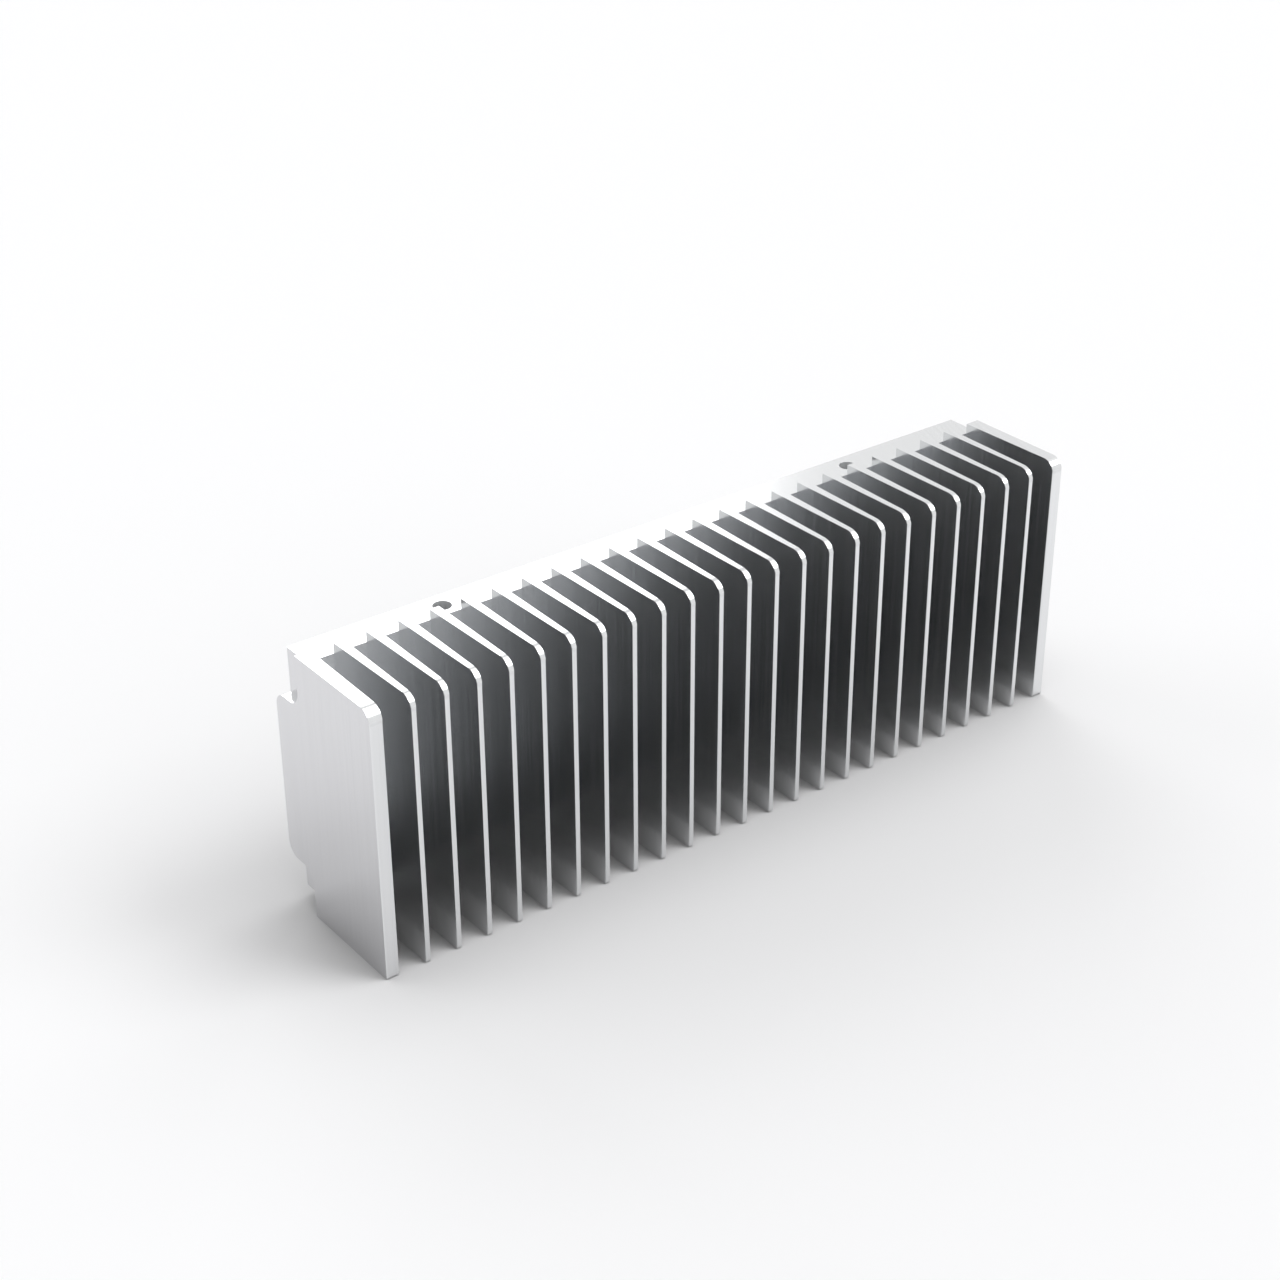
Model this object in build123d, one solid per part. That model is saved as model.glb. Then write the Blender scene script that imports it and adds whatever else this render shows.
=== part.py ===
"""Aluminium heat sink: a comb of tapered fins on a flat base, all one piece.

The piece is cut from an extruded bar and then milled. The bar's section lies in the XY plane and
the bar runs along Z, so every fin is an upright blade with its tip towards -Y. The milling lowers
the base's two end edges below the fins' ends and cuts back the lip at the left end of the base.
The origin is in the middle of the footprint, on the surface that the fins' lower ends stand on.
Sizes are in millimetres.
"""
from build123d import *
import os
from math import tan, radians

# Bar section: the comb of fins
fin_pitch = 6.1
inner_fin_count = 23
fin_depth = 22.4
fin_tip_thickness = 0.95
fin_root_thickness = 1.8
end_fin_tip_thickness = 2.4
end_fin_root_thickness = 2.85
fin_tip_edge_radius = 0.15

# Bar section: the base that carries the fins, and the lip along its left end
base_thickness = 6.5
base_right_setback = 0.6
lip_thickness = 2.2
lip_stand = 1.0

# Length of bar cut off, and the milling of its two ends
bar_length = 50.5
base_end_step = 2.0
fin_top_corner_radius = 2.5
fin_bottom_corner_radius = 0.6
lip_top_cutback = 9.8
lip_bottom_cutback = 9.1
lip_cutter_radius = 3.0
lip_corner_radius = 2.5

# Two blind holes, drilled to take a thread, in the base's upper edge
first_hole_from_left_end = 29.7
hole_spacing = 90.0
hole_from_base_front = 3.0
hole_diameter = 3.3
hole_depth = 10.0
drill_point_angle = 118.0

# Along X: the end fins stand one regular channel, measured at the tips, outside the last inner fins
inner_span = (inner_fin_count - 1) * fin_pitch
tip_channel = fin_pitch - fin_tip_thickness
outer_x = inner_span / 2 + fin_tip_thickness / 2 + tip_channel + end_fin_tip_thickness
lip_inner_x = -outer_x + lip_thickness
base_right_x = outer_x - base_right_setback

# Along Y: the origin halves the depth over the fin tips and the lip
overall_depth = fin_depth + base_thickness + lip_stand
fin_tip_y = -overall_depth / 2
base_front_y = fin_tip_y + fin_depth
base_rear_y = base_front_y + base_thickness
lip_rear_y = base_rear_y + lip_stand

# Along Z: the base's edges and the piece of lip that the milling leaves
base_bottom_z = base_end_step
base_top_z = bar_length - base_end_step
lip_bottom_z = lip_bottom_cutback
lip_top_z = bar_length - lip_top_cutback


def rounded_outline(points, rounds):
    """A side view in Y and Z as a face, with the listed corners rounded.

    rounds pairs each corner's place in points with its radius.
    """
    face = make_face(Polyline(*points, close=True))
    for place, radius in rounds:
        y, z = points[place]
        corner = face.vertices().sort_by_distance((y, z, 0))[0]
        face = fillet(corner, radius)
    return face


def inner_fin():
    """One inner fin in section: thin at its tip and thickening evenly to its root."""
    tip = fin_tip_thickness / 2
    root = fin_root_thickness / 2
    points = [(-tip, fin_tip_y), (tip, fin_tip_y), (root, base_front_y), (-root, base_front_y)]
    return make_face(Polyline(*points, close=True))


def end_fin(side):
    """The thicker fin at one end, flat outside and tapered inside. side is -1 at left, 1 at right."""
    tip_x = side * (outer_x - end_fin_tip_thickness)
    root_x = side * (outer_x - end_fin_root_thickness)
    edge_x = side * outer_x
    points = [(tip_x, fin_tip_y), (edge_x, fin_tip_y), (edge_x, base_front_y), (root_x, base_front_y)]
    return make_face(Polyline(*points, close=True))


def bar_section():
    """The whole section: fins side by side on the base, with the lip at the base's left end."""
    base_width = base_right_x + outer_x
    base_centre = Pos((base_right_x - outer_x) / 2, (base_front_y + base_rear_y) / 2)
    lip_centre = Pos((lip_inner_x - outer_x) / 2, (base_front_y + lip_rear_y) / 2)
    base = base_centre * Rectangle(base_width, base_thickness)
    lip = lip_centre * Rectangle(lip_thickness, lip_rear_y - base_front_y)
    fins = [place * inner_fin() for place in GridLocations(fin_pitch, 0, inner_fin_count, 1)]
    section = base + lip + fins + end_fin(-1) + end_fin(1)
    tip_corners = section.vertices().group_by(Axis.Y)[0]
    return fillet(tip_corners, fin_tip_edge_radius)


def fins_and_base_side():
    """Side view that the milling leaves: fins at full height, the base stepped in at both ends."""
    points = [
        (fin_tip_y, 0),
        (fin_tip_y, bar_length),
        (base_front_y, bar_length),
        (base_front_y, base_top_z),
        (base_rear_y, base_top_z),
        (base_rear_y, base_bottom_z),
        (base_front_y, base_bottom_z),
        (base_front_y, 0),
    ]
    return rounded_outline(points, [(0, fin_bottom_corner_radius), (1, fin_top_corner_radius)])


def left_end_side():
    """Side view of the left end fin, with the middle stretch of lip that is left behind it."""
    points = [
        (fin_tip_y, 0),
        (fin_tip_y, bar_length),
        (base_front_y, bar_length),
        (base_front_y, lip_top_z),
        (lip_rear_y, lip_top_z),
        (lip_rear_y, lip_bottom_z),
        (base_front_y, lip_bottom_z),
        (base_front_y, 0),
    ]
    rounds = [
        (0, fin_bottom_corner_radius),
        (1, fin_top_corner_radius),
        (3, lip_cutter_radius),
        (4, lip_corner_radius),
        (5, lip_corner_radius),
        (6, lip_cutter_radius),
    ]
    return rounded_outline(points, rounds)


def milled_envelope():
    """What the milling leaves room for: one side view over the base, the other over the lip."""
    over_base = extrude(Plane.YZ.offset(lip_inner_x) * fins_and_base_side(), outer_x - lip_inner_x)
    over_lip = extrude(Plane.YZ.offset(-outer_x) * left_end_side(), lip_thickness)
    return over_base + over_lip


def drilled_hole():
    """The space of one drilled hole, mouth upwards, with the drill's cone below its full bore."""
    radius = hole_diameter / 2
    point_depth = radius / tan(radians(drill_point_angle / 2))
    points = [(0, 0), (radius, 0), (radius, -hole_depth), (0, -hole_depth - point_depth)]
    return revolve(Plane.XZ * make_face(Polyline(*points, close=True)), Axis.Z)


def heat_sink():
    """The bar cut to length, milled at its ends and drilled."""
    bar = extrude(bar_section(), bar_length)
    milled = bar & milled_envelope()
    first_mouth = Pos(first_hole_from_left_end - outer_x, base_front_y + hole_from_base_front, base_top_z)
    mouths = [first_mouth, Pos(hole_spacing, 0) * first_mouth]
    return milled - [mouth * drilled_hole() for mouth in mouths]


os.makedirs("parts", exist_ok=True)
export_step(heat_sink(), "parts/heat_sink.step")
print(f"length {2 * outer_x:.2f}, depth {overall_depth:.2f}, height {bar_length:.2f}")
print(f"channel {tip_channel:.2f} at the tips, {fin_pitch - fin_root_thickness:.2f} at the roots")
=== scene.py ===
"""A milled aluminium heat sink, dressed and set up as it stands in the photograph.

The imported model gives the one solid. This script adds the camera, the floor, the light and the
metal's finish, and it leaves the shape as it is.
"""
from math import radians
import bpy
from mathutils import Euler, Matrix, Vector

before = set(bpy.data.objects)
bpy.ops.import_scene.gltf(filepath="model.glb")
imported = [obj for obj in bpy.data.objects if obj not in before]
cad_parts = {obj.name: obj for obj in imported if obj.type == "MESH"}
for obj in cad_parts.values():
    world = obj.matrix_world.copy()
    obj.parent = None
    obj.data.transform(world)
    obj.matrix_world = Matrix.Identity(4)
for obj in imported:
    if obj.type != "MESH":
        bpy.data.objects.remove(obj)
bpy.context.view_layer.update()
scene = bpy.context.scene
mm = 0.001


# Camera: a 66 mm lens on a 36 mm frame, about 420 mm from the middle of the heat sink.
# It looks down at the fins' tips from the left end, with a quarter of a degree of tilt.
# The numbers were fitted to the fins' corners and the holes in the photograph.
camera_lens = 65.94
camera_sensor = 36.0
camera_nearest = 10 * mm
camera_farthest = 20.0
camera_aim = Vector((-6.17, 7.80, 29.71)) * mm
camera_distance = 417.8 * mm
camera_from_left = 37.16
camera_from_above = 29.15
camera_tilt = -0.25

upright = Euler((radians(90 - camera_from_above), 0, radians(-camera_from_left))).to_matrix()
camera_turn = upright @ Matrix.Rotation(radians(camera_tilt), 3, "Z")
camera_data = bpy.data.cameras.new("camera")
camera_data.lens = camera_lens
camera_data.sensor_width = camera_sensor
camera_data.clip_start = camera_nearest
camera_data.clip_end = camera_farthest
camera = bpy.data.objects.new("camera", camera_data)
camera.matrix_world = Matrix.LocRotScale(
    camera_aim + camera_turn @ Vector((0, 0, camera_distance)), camera_turn, None
)
scene.collection.objects.link(camera)
scene.camera = camera
scene.view_settings.view_transform = "Standard"

# Light that enters a channel is thrown from fin to fin several times before it comes out. With
# fewer bounces the channels would be black. Metal throws no light patches on the floor.
most_bounces = 7
scene.cycles.max_bounces = most_bounces
scene.cycles.glossy_bounces = most_bounces
scene.cycles.caustics_reflective = False


# Floor: a matt white table top, far larger than the heat sink, on which it stands.
# Its own white gives the pale ground, and the heat sink's soft shadow falls on it.
floor_half_width = 3.0
floor_white = "#FAFAFB"


def linear(hex_colour):
    """An sRGB hex colour as four linear values, by the curve of the sRGB standard."""
    channels = [int(hex_colour[i:i + 2], 16) / 255 for i in (1, 3, 5)]
    curve = [c / 12.92 if c <= 0.04045 else ((c + 0.055) / 1.055) ** 2.4 for c in channels]
    return (*curve, 1.0)


def add_node(tree, kind, inputs=None, **settings):
    """Adds one node with its settings. inputs gives a value, or a socket to link, for each name."""
    node = tree.nodes.new(kind)
    for name, value in settings.items():
        setattr(node, name, value)
    for name, value in (inputs or {}).items():
        if isinstance(value, bpy.types.NodeSocket):
            tree.links.new(value, node.inputs[name])
        else:
            node.inputs[name].default_value = value
    return node


def new_tree(material):
    """The empty node tree of a material."""
    material.use_nodes = True
    material.node_tree.nodes.clear()
    return material.node_tree


floor_corners = [
    (x * floor_half_width, y * floor_half_width, 0) for x, y in ((-1, -1), (1, -1), (1, 1), (-1, 1))
]
floor_mesh = bpy.data.meshes.new("floor")
floor_mesh.from_pydata(floor_corners, [], [(0, 1, 2, 3)])
floor = bpy.data.objects.new("floor", floor_mesh)
scene.collection.objects.link(floor)
floor_material = bpy.data.materials.new("matt_white_table")
tree = new_tree(floor_material)
table_surface = add_node(tree, "ShaderNodeBsdfDiffuse", {"Color": linear(floor_white)})
add_node(tree, "ShaderNodeOutputMaterial", {"Surface": table_surface.outputs[0]})
floor_mesh.materials.append(floor_material)


# Light: a plain white room with six soft lights far off. Three of them, overhead, front right and
# behind, also shine on the metal's corners, and the other three only soften the floor's shadow.
# The camera and reflections see the room at full white, and matt surfaces get less light from it.
room_white = "#FFFFFF"
room_light_as_seen = 1.0
room_light_on_matt_surfaces = 0.28

world = bpy.data.worlds.new("white_room")
world.use_nodes = True
world.node_tree.nodes.clear()
scene.world = world
rays = add_node(world.node_tree, "ShaderNodeLightPath")
seen = add_node(
    world.node_tree,
    "ShaderNodeMath",
    {0: rays.outputs["Is Camera Ray"], 1: rays.outputs["Is Glossy Ray"]},
    operation="MAXIMUM",
)
seen_or_through = add_node(
    world.node_tree,
    "ShaderNodeMath",
    {0: seen.outputs[0], 1: rays.outputs["Is Transmission Ray"]},
    operation="MAXIMUM",
)
room_strength = add_node(
    world.node_tree,
    "ShaderNodeMapRange",
    {
        "Value": seen_or_through.outputs[0],
        "To Min": room_light_on_matt_surfaces,
        "To Max": room_light_as_seen,
    },
)
room = add_node(
    world.node_tree,
    "ShaderNodeBackground",
    {"Color": linear(room_white), "Strength": room_strength.outputs[0]},
)
add_node(world.node_tree, "ShaderNodeOutputWorld", {"Surface": room.outputs[0]})


def soft_light(name, turned, raised, spread, strength, mirrored=True):
    """A broad far light, turned from +Y towards +X and raised above the floor, in degrees.

    mirrored tells whether the metal shows it, or only the floor is lit by it.
    """
    data = bpy.data.lights.new(name, "SUN")
    data.energy = strength
    data.angle = radians(spread)
    lamp = bpy.data.objects.new(name, data)
    lamp.rotation_euler = (radians(raised - 90), 0, radians(-turned))
    lamp.visible_glossy = mirrored
    scene.collection.objects.link(lamp)


soft_light("back_light", turned=16, raised=22, spread=44, strength=0.87)
soft_light("back_left_light", turned=320, raised=22, spread=44, strength=0.44, mirrored=False)
soft_light("right_light", turned=70, raised=30, spread=40, strength=0.33, mirrored=False)
soft_light("front_right_light", turned=130, raised=45, spread=34, strength=0.88)
soft_light("front_light", turned=160, raised=25, spread=40, strength=0.37, mirrored=False)
soft_light("top_light", turned=115, raised=80, spread=60, strength=0.98)


# Heat sink: a length sawn from an extruded bar of aluminium alloy 6063, then milled and drilled.
# It is degreased and left bare, and stands on the lower ends of its fins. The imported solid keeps
# its shape, and gets the metal's finish as the die, the saw and the drill leave it.
between_fins_silver = "#E9EAEB"
outside_painted_shade_silver = "#DBDBDD"
sawn_silver = "#E0E1E2"

# Where the faces and the holes lie, to tell the finishes apart. The end face nearest to the
# middle is the one that the milling leaves beside the lip. The saw's centre is off the bar.
end_face_x = 72.925 * mm
rear_face_y = 13.95 * mm
left_hole_centre = (-45.425 * mm, 10.45 * mm, 0)
right_hole_centre = (44.575 * mm, 10.45 * mm, 0)
hole_radius = 1.65 * mm
saw_centre = (260 * mm, -60 * mm, 0)
mask_margin = 0.05 * mm
least_lean = 0.05

# Extruded and sawn aluminium: a cool silver with a satin gloss, which the die draws out into
# soft streaks along the bar. The finest real lines are under 0.1 mm and would not show, so the
# streaks are drawn 0.6 mm wide. The saw's marks are 0.2 mm apart and are drawn 0.7 mm apart:
# arcs across the cut ends, which are a little glossier, and rings down the two dull drilled
# holes. The faces on the outside of the bar are a shade darker than the metal between the fins.
# This is painted shade, which dims what these faces reflect.
streak_width = 0.6 * mm
streak_length = 45 * mm
streak_detail = 2.0
streak_shade = "#F9F9F9"
mark_spacing = 0.7 * mm
mark_detail = 1.0
mark_relief = 0.0016 * mm

# Roughness of each finish. Between the streaks' two heights the gloss goes from most to least.
glossy_roughness = 0.175
glossy_height = 0.35
dull_roughness = 0.25
dull_height = 0.65
sawn_roughness = 0.16
drilled_roughness = 0.6

# In a Mix node, 0 is the share of the second input, 2 and 3 are numbers and 6 and 7 colours.
aluminium = bpy.data.materials.new("extruded_and_sawn_aluminium_6063")
tree = new_tree(aluminium)
place = add_node(tree, "ShaderNodeTexCoord")
at = add_node(tree, "ShaderNodeSeparateXYZ", {0: place.outputs["Object"]})

# Die streaks: a pattern drawn out along the bar.
streak_scale = (1 / streak_width, 1 / streak_width, 1 / streak_length)
along_bar = add_node(
    tree, "ShaderNodeMapping", {"Vector": place.outputs["Object"], "Scale": streak_scale}
)
streaks = add_node(
    tree,
    "ShaderNodeTexNoise",
    {"Vector": along_bar.outputs[0], "Scale": 1.0, "Detail": streak_detail},
)

# Saw and drill marks: arcs round the saw's centre, and rings down the holes.
in_plan = add_node(
    tree, "ShaderNodeVectorMath", {0: place.outputs["Object"], 1: (1, 1, 0)}, operation="MULTIPLY"
)
from_saw = add_node(
    tree, "ShaderNodeVectorMath", {0: in_plan.outputs[0], 1: saw_centre}, operation="DISTANCE"
)
from_left_hole = add_node(
    tree,
    "ShaderNodeVectorMath",
    {0: in_plan.outputs[0], 1: left_hole_centre},
    operation="DISTANCE",
)
from_right_hole = add_node(
    tree,
    "ShaderNodeVectorMath",
    {0: in_plan.outputs[0], 1: right_hole_centre},
    operation="DISTANCE",
)
from_hole = add_node(
    tree,
    "ShaderNodeMath",
    {0: from_left_hole.outputs["Value"], 1: from_right_hole.outputs["Value"]},
    operation="MINIMUM",
)
drilled = add_node(
    tree,
    "ShaderNodeMath",
    {0: from_hole.outputs[0], 1: hole_radius + mask_margin},
    operation="LESS_THAN",
)
mark_at = add_node(
    tree,
    "ShaderNodeMix",
    {0: drilled.outputs[0], 2: from_saw.outputs["Value"], 3: at.outputs["Z"]},
)
marks = add_node(
    tree,
    "ShaderNodeTexNoise",
    {"W": mark_at.outputs[0], "Scale": 1 / mark_spacing, "Detail": mark_detail},
    noise_dimensions="1D",
)

# Extruded faces run straight along Z, so a face that leans at all was sawn or milled.
lean = add_node(
    tree, "ShaderNodeVectorMath", {0: place.outputs["Normal"]}, operation="ABSOLUTE"
)
lean_to = add_node(tree, "ShaderNodeSeparateXYZ", {0: lean.outputs[0]})
sawn = add_node(
    tree, "ShaderNodeMath", {0: lean_to.outputs["Z"], 1: least_lean}, operation="GREATER_THAN"
)
cut = add_node(
    tree, "ShaderNodeMath", {0: sawn.outputs[0], 1: drilled.outputs[0]}, operation="MAXIMUM"
)
relief = add_node(
    tree, "ShaderNodeMix", {0: cut.outputs[0], 2: streaks.outputs[0], 3: marks.outputs[0]}
)
bumps = add_node(
    tree, "ShaderNodeBump", {"Height": relief.outputs[0], "Distance": mark_relief}
)
gloss = add_node(
    tree,
    "ShaderNodeMapRange",
    {
        "Value": relief.outputs[0],
        "From Min": glossy_height,
        "From Max": dull_height,
        "To Min": glossy_roughness,
        "To Max": dull_roughness,
    },
)
cut_roughness = add_node(
    tree, "ShaderNodeMix", {0: drilled.outputs[0], 2: sawn_roughness, 3: drilled_roughness}
)
roughness = add_node(
    tree, "ShaderNodeMix", {0: cut.outputs[0], 2: gloss.outputs[0], 3: cut_roughness.outputs[0]}
)

# Painted shade on the outside of the bar: the outer faces of both ends, and the rear face.
outwards = add_node(
    tree,
    "ShaderNodeVectorMath",
    {0: place.outputs["Object"], 1: place.outputs["Normal"]},
    operation="MULTIPLY",
)
outwards_by = add_node(tree, "ShaderNodeSeparateXYZ", {0: outwards.outputs[0]})
at_end = add_node(
    tree,
    "ShaderNodeMath",
    {0: outwards_by.outputs["X"], 1: end_face_x - mask_margin},
    operation="GREATER_THAN",
)
at_rear = add_node(
    tree,
    "ShaderNodeMath",
    {0: at.outputs["Y"], 1: rear_face_y - mask_margin},
    operation="GREATER_THAN",
)
outside = add_node(
    tree, "ShaderNodeMath", {0: at_end.outputs[0], 1: at_rear.outputs[0]}, operation="MAXIMUM"
)
# The darker outside silver is painted shade, not a colour the metal has.
extruded_tone = add_node(
    tree,
    "ShaderNodeMix",
    {0: outside.outputs[0], 6: linear(between_fins_silver), 7: linear(outside_painted_shade_silver)},
    data_type="RGBA",
)
clean_tone = add_node(
    tree,
    "ShaderNodeMix",
    {0: cut.outputs[0], 6: extruded_tone.outputs[2], 7: linear(sawn_silver)},
    data_type="RGBA",
)
tone = add_node(
    tree,
    "ShaderNodeMix",
    {0: relief.outputs[0], 6: clean_tone.outputs[2], 7: linear(streak_shade)},
    data_type="RGBA",
    blend_type="MULTIPLY",
)
metal = add_node(
    tree,
    "ShaderNodeBsdfPrincipled",
    {
        "Base Color": tone.outputs[2],
        "Metallic": 1.0,
        "Roughness": roughness.outputs[0],
        "Normal": bumps.outputs[0],
    },
)
add_node(tree, "ShaderNodeOutputMaterial", {"Surface": metal.outputs[0]})
heat_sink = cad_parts["heat_sink"]
for slot in heat_sink.material_slots:
    slot.material = aluminium
